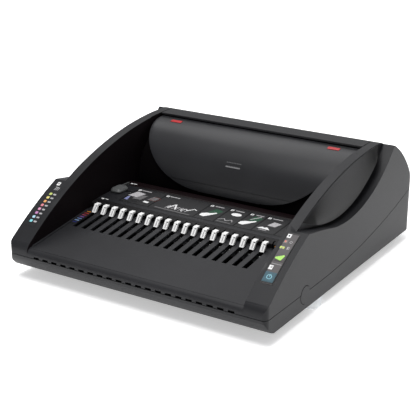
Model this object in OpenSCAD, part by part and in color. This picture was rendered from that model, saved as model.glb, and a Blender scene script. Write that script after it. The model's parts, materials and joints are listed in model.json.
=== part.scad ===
// Comb binding machine: powered punch at the back of an open tray, with a hand-lifted drum
// that slides a row of hooks forward to open the plastic comb.
// Millimetres. X runs across the machine, -Y is the front, +Z is up.
// The origin lies on the table, under the centre of the machine.

/* [Casing] */
// Overall width
width = 376; // [372:0.5:378]
// Overall depth
depth = 416; // [412:0.5:420]
// Clear width between the two side housings
tray_width = 316; // [314:0.5:318]
// Height of the feet under the casing
foot_h = 14; // [8:1:18]
// Thickness of the moulded walls
wall = 2.5; // [2:0.1:2.6]
// Height of the joint line between lower and upper casing at the front
seam_z = 21; // [20:0.5:22]
// Gap that shows along the joint line
seam_gap = 0.8; // [0.4:0.1:1]

/* [Comb and tray] */
// Spacing of the comb rings and of the punched holes
pitch = 14.2875; // [14.2:0.0025:14.3]
// Number of rings along the long edge of a page: 19 for a letter page
rings = 19; // [19:2:21]
// Slope of the tray, falling to the front
slope = 7.5; // [7:0.1:8]
// Width of the slots that the hooks run in
slot_w = 6.6; // [6.4:0.1:7]
// Width of one hook
hook_w = 6; // [5:0.1:6.2]

/* [Drum handle] */
// Outer radius of the drum
drum_r = 77; // [76:0.1:77.2]
// Thickness of the drum's skin
skin_t = 2.6; // [2:0.1:2.8]
// Angle that the drum turns back when it is lifted
handle_travel = 50; // [40:1:50]
// Teeth on a full drum pinion
drum_teeth = 36; // [36:1:36]
// Module of the drum pinion and its rack
drum_module = 2; // [2:0.5:2]

/* [Punch] */
// Width of one punched hole
pin_w = 8; // [7.5:0.1:8.2]
// Height of one punched hole
pin_h = 3; // [2.8:0.1:3.2]
// Gap that the pages stand in
throat = 4.6; // [4.4:0.1:4.8]
// Throw of the eccentrics, half of the punch stroke
throw = 4.5; // [4:0.1:4.6]
// Module of the punch gears
gear_module = 1.5; // [1.5:0.1:1.5]

/* [Hidden] */

half_w = width / 2;
half_d = depth / 2;
in_w = tray_width / 2;
front_r = 7;
rear_r = 22;
// Side outline: a nose, one long rim arc, a blend and the rear arc
rim_c = [107, -369];
rim_r = 510.5;
nose_c = [-half_d + 16, 24.9];
nose_r = 16;
nose_a = 127.2;
rear_c = [half_d - 151, -1.7];
rear_arc_r = 157;
rear_low_a = 17.4;
rear_flat_z = 41;
blend_c = [rear_c[0] + 58.76, 116.5];
blend_r = 25;
blend_a = 63.57;
seam_y = -85;
seam_r = 963;
// Round boss at the joint line, and the hole round it, wider ahead of it than behind it
boss_c = [-115, 18];
boss_r = 11;
boss_hole = [-115.6, 18.3];
boss_hole_r = 11.7;
// Recess in the outer side of each housing
strip_w = 15;
inset_floor = half_w - strip_w - 1.5;
recess_c = [-10, 263];
recess_r = 187;
ridge_c = [-22, 262];
ridge_r = 179;
// Middle of the row of rings: a page stands against the left housing
row_x = -pitch;
// Tray plane
tray_y = -202.4;
tray_z = 31.9;
tray_t = 2.6;
slot_front = -131.4;
slot_rear = -84;
front_slots = 10;
rack_y = -76;
// Drum
drum_c = [94, 60];
skin_half = in_w - 1.5;
skin_low = 178;
skin_high = 75;
liner_r = 72.5;
arm_x = 151;
hub_r = 8;
drum_pr = drum_teeth * drum_module / 2;
rack_c = drum_c + drum_pr * [sin(slope), -cos(slope)];
// Carriage
bar_c = [-86.5, 37.4];
plate_x = in_w + 5.5;
plate_t = 4;
travel = drum_pr * handle_travel * PI / 180;
// Punch
die_y = -throat;
pin_z = 30;
cam_c = [52, 30];
cam_r = 11.2;
cam_teeth = 30;
idler_teeth = 36;
pinion_teeth = 15;
idler_a = 21.7;
pinion_a = -30;
idler_c = cam_c + gear_module * (cam_teeth + idler_teeth) / 2 * [cos(idler_a), sin(idler_a)];
motor_c = idler_c + gear_module * (idler_teeth + pinion_teeth) / 2 * [cos(pinion_a), sin(pinion_a)];
gear_x = 143;
gear_w = 6;
plate_top = 4.3;
floor_t = 2.8;
screw_xs = [-90, -40, 20, 90];
screw_ys = [20, 158];
// Drawer
drawer_y = [-45, 7];
drawer_z = [4.8, 18.2];
drawer_end = 120;
// Control strip on the right rim, as angles round the rim's centre
panel_a = [115.7, 124.2];
panel_x = [half_w - 24.7, half_w - 8.7];
panel_mid = (panel_x[0] + panel_x[1]) / 2;
punch_key_a = 120.05;
punch_key = [6, 5];
power_key_a = 123.2;
power_key = [7, 6.8];
led_a = [117.3, 118.35];
led_x = panel_mid - 4.6;
key_gap = 0.2;

CASE = [0.19, 0.19, 0.2];
INNER = [0.12, 0.11, 0.12];
STEEL = [0.68, 0.69, 0.7];

// ---- helpers ----

// Place of one ring across the machine
function ring_x(i) = row_x + (i - (rings - 1) / 2) * pitch;

function arc(c, r, a0, a1, n) =
    [for (i = [0:n]) let(a = a0 + (a1 - a0) * i / n) [c[0] + r * cos(a), c[1] + r * sin(a)]];

// Outline of the machine from the side, moved inwards by d
function side_pts(d) = concat(
    [[-half_d + d, -20]],
    arc(nose_c, nose_r - d, 180, nose_a, 6),
    arc(rim_c, rim_r - d, nose_a, 90, 20),
    arc(blend_c, blend_r - d, 90, blend_a, 4),
    arc(rear_c, rear_arc_r - d, blend_a - 4, rear_low_a, 11),
    [[half_d - d, rear_flat_z], [half_d - d, -20]]);

// Height of the joint line at depth y
function seam(y) = seam_z + (y < seam_y ? 0 : seam_r - sqrt(seam_r * seam_r - pow(y - seam_y, 2)));
function seam_line(dz) =
    concat([[-half_d - 10, seam_z + dz]], [for (i = [0:14]) let(y = seam_y + i * 22) [y, seam(y) + dz]]);

// Height of the tray's top face at depth y
function tray(y) = tray_z + (y - tray_y) * tan(slope);
// Height of the deck behind the rack
function deck(y) = 57 + (y + 56) * 3 / 51;

module raised() translate([0, 0, foot_h]) children();

// Draws a shape given in depth and height, from x0 to x1 across the machine
module along_x(x0, x1) translate([x0, 0, 0]) rotate([90, 0, 90]) linear_extrude(height = x1 - x0) children();

module both_sides() {
    children();
    mirror([1, 0, 0]) children();
}

// Outline from above, moved inwards by d
module plan(d) {
    translate([-half_w + d, -half_d + front_r])
        square([width - 2 * d, depth - front_r - rear_r]);
    translate([-half_w + front_r, -half_d + d]) square([width - 2 * front_r, front_r + 1]);
    translate([-half_w + rear_r, half_d - rear_r - 1]) square([width - 2 * rear_r, rear_r + 1 - d]);
    for (s = [-1, 1]) {
        translate([s * (half_w - front_r), -half_d + front_r]) circle(r = front_r - d, $fn = 48);
        translate([s * (half_w - rear_r), half_d - rear_r]) circle(r = rear_r - d, $fn = 96);
    }
}

module over_seam(dz) polygon(concat(seam_line(dz), [[240, 200], [-half_d - 10, 200]]));
module under_seam(dz) polygon(concat(seam_line(dz), [[240, -40], [-half_d - 10, -40]]));

// Puts its children on the rim: local Z leaves the rim, local Y climbs it
module on_rim(x, a) translate([x, rim_c[0] + rim_r * cos(a), rim_c[1] + rim_r * sin(a)])
    rotate([a - 90, 0, 0]) children();

// Band along the rim between two angles and two distances from its face
module rim_band(a, low, high) polygon(concat(arc(rim_c, rim_r + high, a[0], a[1], 8),
    arc(rim_c, rim_r + low, a[1], a[0], 8)));

module block(x, y, z) translate([x[0], y[0], z[0]]) cube([x[1] - x[0], y[1] - y[0], z[1] - z[0]]);

module rod(c, r, x0, x1, fn = 48) translate([x0, c[0], c[1]]) rotate([0, 90, 0])
    cylinder(r = r, h = x1 - x0, $fn = fn);

// ---- gears ----

gear_play = 0.09;
function inv_angle(rb, r) = let(t = sqrt(max(0, pow(r / rb, 2) - 1))) t * 180 / PI - atan(t);
function polar(r, a) = [r * cos(a), r * sin(a)];

// Outline of a spur gear, one tooth centred at angle phase
function gear_pts(m, teeth, phase) =
    let(r = m * teeth / 2, rb = r * cos(20), tip = r + 0.9 * m, root = r - 1.2 * m,
        half = 90 / teeth - gear_play / r * 180 / PI + inv_angle(rb, r),
        steps = [root, max(rb, root), (r + max(rb, root)) / 2, r, (r + tip) / 2, tip],
        wide = [for (s = steps) half - inv_angle(rb, max(s, rb))])
    [for (i = [0:teeth - 1]) let(a = phase + i * 360 / teeth)
        each concat([for (k = [0:5]) polar(steps[k], a - wide[k])],
                    [for (k = [5:-1:0]) polar(steps[k], a + wide[k])])];

// Phase that puts a gap of the second gear on a tooth of the first, met at angle a
function mesh_phase(a, phase1, teeth1, teeth2) =
    a + 180 - (0.5 - (a - phase1) * teeth1 / 360) * 360 / teeth2;

idler_phase = mesh_phase(idler_a, 0, cam_teeth, idler_teeth);
pinion_phase = mesh_phase(pinion_a, idler_phase, idler_teeth, pinion_teeth);

module gear(m, teeth, phase, bore, width) difference() {
    linear_extrude(height = width) polygon(gear_pts(m, teeth, phase));
    translate([0, 0, -1]) cylinder(r = bore, h = width + 2, $fn = 48);
}

// Gear standing across the machine at depth and height c
module gear_at(c, m, teeth, phase, bore, x, width)
    translate([x, c[0], c[1]]) rotate([90, 0, 90]) gear(m, teeth, phase, bore, width);

// ---- casing ----

module lower_shell() color(CASE) raised() {
    front = [[-half_d + 18, 0], [-half_d + 11, 3], [-half_d + 4.5, 10], [-half_d + 1, 16.5],
        [-half_d, seam_z]];
    difference() {
        union() {
            intersection() {
                linear_extrude(height = 90) plan(0);
                along_x(-half_w, half_w) intersection() {
                    polygon(concat(front, [[-half_d, 90], [half_d, 90], [half_d, 9], [half_d - 3, 2],
                        [half_d - 8, 0]]));
                    polygon(side_pts(0));
                    under_seam(-seam_gap / 2);
                }
            }
            // tongue that locates the upper casing
            intersection() {
                translate([0, 0, floor_t]) linear_extrude(height = 90) plan(wall);
                along_x(-half_w, half_w) intersection() {
                    polygon(side_pts(wall));
                    translate([-half_d, 15]) square([depth, 90]);
                    under_seam(2);
                }
            }
            both_sides() rod(boss_c, boss_r, half_w - 12, half_w, 64);
        }
        intersection() {
            translate([0, 0, floor_t]) linear_extrude(height = 90) plan(wall + 1.5);
            along_x(-half_w, half_w) intersection() {
                polygon(side_pts(wall + 1.5));
                polygon([[-half_d + 21, floor_t], [-half_d + 8, 12], [-half_d + 4, seam_z],
                    [-half_d + 4, 90], [half_d - 4, 90], [half_d - 4, 9], [half_d - 9, floor_t]]);
            }
        }
        // the front lip of the tray closes the middle of the front
        block([-in_w, in_w], [-half_d - 1, -half_d + wall + 4.3], [seam_z - seam_gap / 2, 40]);
        // the gap ahead of the boss runs on below the joint line
        both_sides() along_x(half_w - 1.5, half_w + 1) intersection() {
            difference() {
                translate(boss_hole) circle(r = boss_hole_r, $fn = 64);
                translate(boss_c) circle(r = boss_r, $fn = 64);
            }
            translate([boss_c[0] - 20, 0]) square([20, 40]);
        }
        // way out for the chip drawer
        block([-half_w - 1, -half_w + 12], [drawer_y[0] - 2.4, drawer_y[1] + 2.4],
            [drawer_z[0] - 0.6, drawer_z[1] + 0.8]);
        // power inlet
        block([-119.2, -92.8], [half_d - 12, half_d + 1], [23.8, 44.2]);
        // cooling slots under the motor
        for (i = [0:7]) block([62 + i * 9, 66 + i * 9], [100, 150], [-1, floor_t + 1]);
        for (x = screw_xs, y = screw_ys) translate([x, y, -1]) cylinder(r = 1.6, h = 9, $fn = 24);
    }
}

// A foot: an oval stud, narrower at the floor
module foot(x, y, long) hull() for (s = [-1, 1]) translate([x, y + s * long, 0])
    cylinder(r1 = 9.5, r2 = 11.5, h = foot_h, $fn = 32);

module front_feet() color([0.9, 0.92, 0.93, 0.6]) both_sides() foot(half_w - 11.5, -73, 4);
module rear_feet() color([0.9, 0.92, 0.93, 0.6]) both_sides() foot(half_w - 88, 140, 14);

// Outline of the recess in the outer side, grown by d
module recess_shape(d) {
    translate(recess_c) circle(r = recess_r + d, $fn = 360);
    polygon([[-111 - d, 92.6 - d], [-95, 89.8 - d], [-80, 87.2 - d], [-60, 82.9 - d], [-60, 130],
        [-111 - d, 130]]);
}

module recess_window(d) intersection() {
    recess_shape(d);
    translate([-111 - d, 60]) square([245 + 2 * d, 110]);
}

// Side housing, drawn on the right
module cheek() difference() {
    intersection() {
        along_x(in_w, half_w) intersection() {
            polygon(side_pts(0));
            over_seam(seam_gap / 2);
        }
        linear_extrude(height = 200) plan(0);
    }
    // hollow behind the strip, then the wider hollow outside the recess
    intersection() {
        along_x(in_w + wall, inset_floor - wall) polygon(side_pts(wall));
        linear_extrude(height = 200) plan(wall);
    }
    intersection() {
        along_x(inset_floor - wall - 1, half_w - wall) difference() {
            polygon(side_pts(wall));
            recess_window(wall);
        }
        linear_extrude(height = 200) plan(wall);
    }
    along_x(inset_floor, half_w + 1) recess_window(0);
    // round boss of the lower casing
    rod(boss_hole, boss_hole_r, half_w - 13, half_w + 1, 64);
    // sunk face beside the drum
    along_x(in_w - 1, in_w + 1.2) intersection() {
        translate([116, 56]) circle(r = 97.6, $fn = 180);
        over_seam(-2);
    }
    // hub of the drum, and the way for the hook bar
    rod(drum_c, 11.05, in_w - 1, in_w + wall + 1);
    along_x(in_w - 1, in_w + wall + 1) translate(bar_c) rotate(slope)
        translate([-7.5 - travel, -5.2]) square([travel + 15.5, 10.4]);
}

module left_cheek() color(CASE) raised() mirror([1, 0, 0]) cheek();
module right_cheek() color(CASE) raised() difference() {
    cheek();
    along_x(panel_x[0] - 0.3, panel_x[1] + 0.3)
        rim_band([panel_a[0] - 0.04, panel_a[1] + 0.04], -wall - 2, 2);
}

// Curved panel in the recess: a plate with a raised ridge along its lower edge
module side_inset() along_x(inset_floor, half_w - strip_w) intersection() {
    polygon(side_pts(0.4));
    recess_window(-0.4);
    translate(ridge_c) circle(r = ridge_r, $fn = 360);
}
module side_ridge() along_x(half_w - strip_w, half_w - 8) intersection() {
    polygon(side_pts(5));
    recess_window(-0.4);
    difference() {
        translate(ridge_c) circle(r = ridge_r, $fn = 360);
        translate(ridge_c) circle(r = ridge_r - 1.5, $fn = 360);
    }
}
module left_side_inset() color(CASE) raised() mirror([1, 0, 0]) {
    side_inset();
    side_ridge();
}
module right_side_inset() color(CASE) raised() {
    side_inset();
    side_ridge();
}

module tray_deck() color(CASE) raised() difference() {
    union() {
        along_x(-in_w, in_w) polygon(concat(
            [[-half_d, seam_z + seam_gap / 2]],
            arc([-half_d + 7.5, 24.2], 7.5, 180, 104, 6),
            [[tray_y, tray_z], [rack_y, tray(rack_y)], [rack_y, tray(rack_y) - tray_t],
             [-half_d + 8, tray(-half_d + 8) - tray_t], [-half_d + wall + 1, 26.5],
             [-half_d + wall, seam_z + seam_gap / 2]]));
        both_sides() along_x(in_w - 3.2, in_w) polygon([[-199, tray(-199)], [-196, tray(-196) + 1.3],
            [slot_rear, tray(slot_rear) + 1.3], [slot_rear, tray(slot_rear)]]);
    }
    for (i = [0:rings - 1]) let(x = ring_x(i))
        block([x - slot_w / 2, x + slot_w / 2], [slot_front, slot_rear], [30, 60]);
    // air slots along the joint line
    for (i = [-front_slots:front_slots]) let(x = i * pitch)
        block([x - 4.25, x + 4.25], [-half_d - 1, -half_d + 5], [seam_z, seam_z + 2.7]);
}

module comb_rack() color(INNER) raised() difference() {
    along_x(-in_w, in_w) polygon([[rack_y, 45.6], [rack_y, 54.2], [rack_y + 2.5, 55.9], [-64, 56.5],
        [-64, 50], [-70, 45.6]]);
    for (i = [0:rings]) let(x = ring_x(i) - pitch / 2)
        block([x - 0.9, x + 0.9], [rack_y - 1, rack_y + 7], [44, 60]);
    for (i = [0:rings - 1]) let(x = ring_x(i))
        block([x - 4.4, x + 4.4], [rack_y - 1, rack_y + 2.6], [47, 53]);
}

module mid_deck() color(CASE) raised() difference() {
    along_x(-in_w, in_w) polygon([[-64, 56.5], [-58, deck(-56) + 0.2], [die_y, deck(-4)], [die_y, 50],
        [die_y - 2.4, 50], [die_y - 2.4, deck(-9) - 3.4], [-62, 52.4], [-64, 50]]);
    // pocket for the printed strip
    along_x(-127.5, in_w + 1) polygon([[-56, deck(-56) - 1], [-56, 70], [-6, 70], [-6, deck(-6) - 1]]);
    // groove for the edge guide's rail
    block([-157, -128.5], [-27, -21], [56.4, 70]);
}

module instruction_strip() color([0.5, 0.5, 0.52]) raised() along_x(-127.2, in_w - 0.3)
    polygon([[-55.7, deck(-55.7) - 1], [-55.7, deck(-55.7) + 0.1], [-6.3, deck(-6.3) + 0.1],
        [-6.3, deck(-6.3) - 1]]);

module throat_bar() color([0.09, 0.07, 0.08]) raised() along_x(-in_w, in_w)
    polygon([[0, 50], [0, 57.2], [1.6, 58.8], [15, 59.3], [16, 58.6], [16, 52], [13.6, 52], [13.6, 56.6],
        [3, 56.2], [3, 50]]);

module rear_cover() color(CASE) raised() along_x(-in_w, in_w) difference() {
    intersection() {
        polygon(side_pts(0));
        over_seam(seam_gap / 2);
        translate([92, 0]) square([200, 200]);
    }
    polygon(side_pts(wall));
}

module drum_sector(r0, r1, a0, a1) difference() {
    intersection() {
        translate(drum_c) circle(r = r1, $fn = 240);
        polygon(concat([drum_c], arc(drum_c, r1 * 1.3, a0, a1, 12)));
    }
    translate(drum_c) circle(r = r0, $fn = 240);
}

module drum_liner() color(INNER) raised()
    along_x(-149.5, 149.5) drum_sector(liner_r - 2.5, liner_r, 60, 188);

module liner_ribs() color(STEEL) raised() for (x = [-72, 69]) along_x(x, x + 3) {
    drum_sector(62, liner_r - 2.5, 60, 188);
    translate([80, plate_top]) square([15, drum_c[1] + 62.5 - plate_top]);
}

module tray_scales() color([0.3, 0.3, 0.34]) raised() both_sides() along_x(146.8, in_w - 3.5)
    polygon([[-126, tray(-126)], [-126, tray(-126) + 0.4], [-87, tray(-87) + 0.4], [-87, tray(-87)]]);

// ---- printed chart and control strip on the rims ----

module comb_size_chart() color([0.33, 0.33, 0.34]) raised() intersection() {
    along_x(-half_w + 3.5, -half_w + 22) difference() {
        rim_band([115.4, 124.5], -0.5, 0.15);
        polygon(side_pts(0));
    }
    block([-200, 0], [-300, 300], [0, 200]);
}

module key_hole(half)
    block([-half[0] - key_gap, half[0] + key_gap], [-half[1] - key_gap, half[1] + key_gap], [-9, 9]);

module panel_bezel() color([0.1, 0.1, 0.11]) raised() difference() {
    union() {
        along_x(panel_x[0], panel_x[1]) rim_band(panel_a, -wall, 0.3);
        // posts that carry the board
        for (x = [-5.8, 5.8], y = [-14, 30]) on_rim(panel_mid, 120) translate([x, y, -10])
            cylinder(r = 1.5, h = 8, $fn = 24);
    }
    on_rim(panel_mid, punch_key_a) key_hole(punch_key);
    on_rim(panel_mid, power_key_a) key_hole(power_key);
    for (a = led_a) on_rim(led_x, a) translate([0, 0, -6]) cylinder(r = 1.85, h = 9, $fn = 32);
}

module status_leds() raised() {
    color([0.85, 0.1, 0.1]) led(led_a[0]);
    color([0.7, 0.85, 0.1]) led(led_a[1]);
}
module led(a) on_rim(led_x, a) {
    translate([0, 0, -3.4]) cylinder(r = 1.75, h = 3.9, $fn = 32);
    translate([0, 0, 0.5]) cylinder(r1 = 1.75, r2 = 1, h = 0.5, $fn = 32);
}

module panel_board() color([0.1, 0.35, 0.2]) raised() {
    on_rim(panel_mid, 120) block([-7.5, 7.5], [-33, 33], [-11.6, -10]);
    for (a = [punch_key_a, power_key_a]) on_rim(panel_mid, a) block([-3, 3], [-3, 3], [-10, -7.4]);
    for (a = led_a) on_rim(led_x, a) translate([0, 0, -9.9]) cylinder(r = 0.8, h = 6.5, $fn = 24);
}

// A key: cap with a stem, given its half sizes
module key(half) {
    block([-half[0], half[0]], [-half[1], half[1]], [-3, 0.7]);
    block([1 - half[0], half[0] - 1], [1 - half[1], half[1] - 1], [0.7, 1]);
    translate([0, 0, -6.2]) cylinder(r = 2, h = 3.2, $fn = 32);
}
module punch_button() color([0.3, 0.75, 0.25]) raised() on_rim(panel_mid, punch_key_a) key(punch_key);
module power_button() color([0.45, 0.75, 0.8]) raised() on_rim(panel_mid, power_key_a) key(power_key);

// ---- punch unit, standing on the base plate ----

module base_plate() color(STEEL) raised() difference() {
    block([-150, 150], [12, 165], [floor_t, plate_top]);
    for (x = screw_xs, y = screw_ys) translate([x, y, 0]) cylinder(r = 1.7, h = 9, $fn = 24);
}

module base_screws() color(STEEL) raised() for (x = screw_xs, y = screw_ys) translate([x, y, 0]) {
    translate([0, 0, 0.3]) cylinder(r = 1.5, h = plate_top, $fn = 24);
    difference() {
        translate([0, 0, plate_top]) cylinder(r = 3.4, h = 1.8, $fn = 32);
        for (a = [0, 90]) rotate(a) block([-2, 2], [-0.4, 0.4], [plate_top + 0.9, plate_top + 3]);
    }
}

module hole_row(w, h, y) for (i = [0:rings - 1]) let(x = ring_x(i))
    block([x - w / 2, x + w / 2], y, [pin_z - h / 2, pin_z + h / 2]);

module die_plate() color(STEEL) raised() difference() {
    block([-152, 152], [die_y - 5, die_y], [20, 50]);
    hole_row(pin_w + 0.1, pin_h + 0.1, [die_y - 6, die_y + 1]);
}

module guide_plate() color(STEEL) raised() difference() {
    block([-152, 152], [0, 5], [20, 50]);
    hole_row(pin_w + 0.1, pin_h + 0.1, [-1, 6]);
}

module paper_stop() color(STEEL) raised() block([-152, 152], [die_y, 0], [20, 25]);

module punch_frame_ends() color(STEEL) raised() both_sides() difference() {
    along_x(152, in_w) polygon([[die_y - 5, 20], [die_y - 5, 50], [5, 50], [5, 44], [34, 44], [34, floor_t],
        [12, floor_t], [12, 20]]);
    // groove that guides the end of the punch bar
    block([151, 155.3], [10, 35], [22 - 0.1, 38.1]);
}

module left_bearing() color(STEEL) raised() along_x(-139, -133) difference() {
    translate([cam_c[0] - 14, plate_top]) square([28, cam_c[1] + 13 - plate_top]);
    translate(cam_c) circle(r = 6.05, $fn = 48);
}

module gear_plate() color(STEEL) raised() along_x(136, 139) difference() {
    polygon([[32, plate_top], [32, 44], [60, 60], [84, 72], [112, 72], [156, 52], [156, plate_top]]);
    translate(cam_c) circle(r = 6.05, $fn = 48);
    translate(idler_c) circle(r = 4, $fn = 48);
    translate(motor_c) circle(r = 3.4, $fn = 48);
}

module idler_stud() color(STEEL) raised() {
    rod(idler_c, 3.98, 136, gear_x + gear_w + 0.6);
    rod(idler_c, 5.5, 139, gear_x - 0.3);
}

module gear_motor() color([0.5, 0.5, 0.52]) raised() {
    rod(motor_c, 24, 100, 136, 64);
    rod(motor_c, 19, 46, 100, 64);
    rod(motor_c, 6, 42, 46);
    block([104, 132], [motor_c[0] - 16, motor_c[0] + 16], [plate_top, 10]);
}

module transformer_core() color([0.35, 0.35, 0.37]) raised() difference() {
    block([-148, -98], [122, 164], [plate_top, 46]);
    block([-139, -107], [121, 165], [13, 37]);
}
module transformer_coil() color([0.75, 0.6, 0.25]) raised()
    block([-138.5, -107.5], [116, 170], [13.4, 36.6]);

module main_board() color([0.1, 0.35, 0.2]) raised() {
    block([-84, 36], [100, 164], [10, 11.6]);
    for (x = [-78, 30], y = [106, 158]) translate([x, y, plate_top])
        cylinder(r = 3, h = 10 - plate_top, $fn = 24);
}
module board_parts() color([0.2, 0.2, 0.25]) raised() {
    for (x = [-70, -48]) translate([x, 120, 11.6]) cylinder(r = 8, h = 20, $fn = 48);
    block([-30, -6], [110, 132], [11.6, 27.6]);
    block([2, 22], [112, 128], [11.6, 15]);
    block([-76, -40], [140, 144], [11.6, 29.6]);
    for (i = [0:4]) block([-30 + i * 11, -23 + i * 11], [146, 156], [11.6, 19.6]);
}

module power_inlet() color([0.08, 0.08, 0.08]) raised() difference() {
    block([-119, -93], [184, half_d - 0.2], [24, 44]);
    block([-117, -95], [191, half_d + 1], [26, 42]);
    for (p = inlet_holes) block([p[0] - 1, p[0] + 1], [180, 192], [p[1] - 2, p[1] + 2]);
}
inlet_holes = [[-112, 36], [-106, 38.5], [-100, 36]];
module inlet_pins() color(STEEL) raised()
    for (p = inlet_holes) block([p[0] - 1, p[0] + 1], [180, 203], [p[1] - 2, p[1] + 2]);

// ---- drum handle ----

module handle_skin() color([0.22, 0.22, 0.23]) raised() intersection() {
    along_x(-skin_half, skin_half) drum_sector(drum_r - skin_t, drum_r, skin_high, skin_low);
    // the lower corners are cut away in two large arcs, seen from the front
    rotate([90, 0, 0]) translate([0, 0, -300]) linear_extrude(height = 600) union() {
        translate([-skin_half, 136]) square([2 * skin_half, 20]);
        translate([-11, 40]) square([22, 100]);
        for (s = [-1, 1]) intersection() {
            translate([s * 11, 227]) circle(r = 172, $fn = 360);
            translate([s * skin_half / 2 - skin_half / 2, 40]) square([skin_half, 97]);
        }
    }
}

module handle_arms() color(INNER) raised() both_sides() {
    along_x(arm_x, arm_x + 4) difference() {
        union() {
            drum_sector(5, drum_r - skin_t, 82, 106);
            translate(drum_c) circle(r = 15, $fn = 64);
        }
        translate(drum_c) circle(r = 4, $fn = 32);
    }
    along_x(arm_x + 4, in_w + 10.3) difference() {
        translate(drum_c) circle(r = hub_r, $fn = 64);
        translate(drum_c) circle(r = 4, $fn = 32);
    }
}

module handle_pinions() color(STEEL) raised() both_sides() along_x(plate_x, plate_x + plate_t) difference() {
    union() {
        intersection() {
            translate(drum_c) polygon(gear_pts(drum_module, drum_teeth, slope - 90 + 180 / drum_teeth));
            polygon(concat([drum_c], arc(drum_c, 70, 264, 341, 8)));
        }
        translate(drum_c) circle(r = 15, $fn = 64);
    }
    translate(drum_c) circle(r = hub_r + 0.03, $fn = 64);
}

module hub_bushings() color([0.8, 0.8, 0.75]) raised() both_sides()
    along_x(in_w + 1.2, in_w + wall + 1.6) difference() {
    translate(drum_c) circle(r = 11, $fn = 64);
    translate(drum_c) circle(r = hub_r + 0.06, $fn = 64);
}

module handle_markers() color([0.75, 0.1, 0.1]) raised() both_sides() along_x(115, 132)
    drum_sector(drum_r + 0.02, drum_r + 0.5, 98.5, 103);

// ---- hooks and their carriage ----

// Height of the bar's top face above its centre
function bar_top(y) = 4 / cos(slope) + y * tan(slope);

module opener_bar() color(STEEL) raised() along_x(-plate_x, plate_x) translate(bar_c) rotate(slope)
    translate([-6, -4]) square([12, 8]);

module opener_hooks() color([0.92, 0.92, 0.9]) raised()
    for (i = [0:rings - 1]) let(x = ring_x(i))
        along_x(x - hook_w / 2, x + hook_w / 2) translate(bar_c)
            polygon([[-5, bar_top(-5)], [-5, 9.6], [2.5, 20.1], [9, 20.1], [9, 17.6], [4, 17.1],
                [-1.5, 9.1], [-1.5, bar_top(-1.5)]]);

// Height of the carriage's centre line at depth y
function line_z(y) = bar_c[1] + (y - bar_c[0]) * tan(slope);
pin_ys = [-55, -10];

module slide_plates() color(STEEL) raised() both_sides() along_x(plate_x, plate_x + plate_t) {
    difference() {
        union() {
            polygon([[-93, line_z(-93) - 5], [-93, line_z(-93) + 4.6], [24, line_z(24) + 6.5], [40, 52],
                [74, 24], [90, 20], [90, 9], [60, 11], [20, line_z(20) - 6.5]]);
            translate(rack_c) rotate(slope)
                translate([-16, -14]) square([travel + 30, 14 - 1.2 * drum_module]);
        }
        for (y = pin_ys) translate([y, line_z(y)]) rotate(slope) {
            translate([0, -2.7]) square([travel, 5.4]);
            circle(r = 2.7, $fn = 32);
            translate([travel, 0]) circle(r = 2.7, $fn = 32);
        }
    }
    translate(rack_c) rotate(slope) for (k = [-1:6]) translate([k * PI * drum_module, 0]) rack_tooth();
}

module rack_tooth() {
    half = PI * drum_module / 4 - gear_play;
    tip = 0.9 * drum_module;
    root = 1.2 * drum_module + 0.2;
    polygon([[-half - root * tan(20), -root], [-half + tip * tan(20), tip],
        [half - tip * tan(20), tip], [half + root * tan(20), -root]]);
}

module guide_pins() color(STEEL) raised() both_sides() for (y = pin_ys)
    rod([y, line_z(y)], 2.5, in_w + wall, plate_x + plate_t + 0.6, 32);

// ---- punch ----

module punch_bar() color(STEEL) raised() block([-155, 155], [20, 28], [22, 38]);

module punch_pins() color(STEEL) raised() hole_row(pin_w, pin_h, [0.6, 20]);

module cam_yokes() color(STEEL) raised() {
    play = 1.3;
    y0 = cam_c[0] + throw - cam_r - play;
    y1 = cam_c[0] + throw + cam_r + play;
    z0 = cam_c[1] - throw - cam_r - 0.8;
    z1 = cam_c[1] + throw + cam_r + 0.8;
    for (x = [-114, 106]) along_x(x, x + 8) difference() {
        union() {
            translate([y0 - 4, z0 - 4]) square([y1 - y0 + 8, z1 - z0 + 8]);
            translate([28, 24]) square([y0 - 28, 12]);
        }
        translate([y0, z0]) square([y1 - y0, z1 - z0]);
    }
}

module camshaft() color(STEEL) raised() rod(cam_c, 6, -142, gear_x + gear_w + 1);

module eccentrics() color(STEEL) raised() for (x = [-115, 105]) along_x(x, x + 10) difference() {
    translate(cam_c + [throw, 0]) circle(r = cam_r, $fn = 64);
    translate(cam_c) circle(r = 6.02, $fn = 48);
}

module cam_gear() color([0.85, 0.83, 0.75]) raised()
    gear_at(cam_c, gear_module, cam_teeth, 0, 6.02, gear_x, gear_w);
module idler_gear() color([0.85, 0.83, 0.75]) raised()
    gear_at(idler_c, gear_module, idler_teeth, idler_phase, 4.05, gear_x, gear_w);
module motor_pinion() color(STEEL) raised() {
    gear_at(motor_c, gear_module, pinion_teeth, pinion_phase, 3.01, gear_x, gear_w);
    rod(motor_c, 3, 136.3, gear_x + gear_w + 0.5);
}

// ---- drawer and edge guide ----

module drawer_rails() color([0.3, 0.3, 0.32]) raised() for (y = [drawer_y[0] - 2.3, drawer_y[1] + 0.3])
    block([-170, drawer_end + 3], [y, y + 2], [floor_t, 10]);

module chip_drawer() color(CASE) raised() difference() {
    union() {
        block([-half_w + 3, drawer_end], drawer_y, drawer_z);
        block([-half_w, -half_w + 3], [drawer_y[0] - 2, drawer_y[1] + 2],
            [drawer_z[0] - 0.3, drawer_z[1] + 0.5]);
    }
    block([-half_w + 5, drawer_end - 1.6], [drawer_y[0] + 1.6, drawer_y[1] - 1.6], [drawer_z[0] + 1.6, 30]);
    // finger scoop in the front
    translate([-half_w - 5, (drawer_y[0] + drawer_y[1]) / 2, drawer_z[1] + 4]) sphere(r = 11, $fn = 48);
}

module edge_guide_rail() color(STEEL) raised() block([-156.8, -128.7], [-26.8, -21.2], [56.4, 57.2]);

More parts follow.
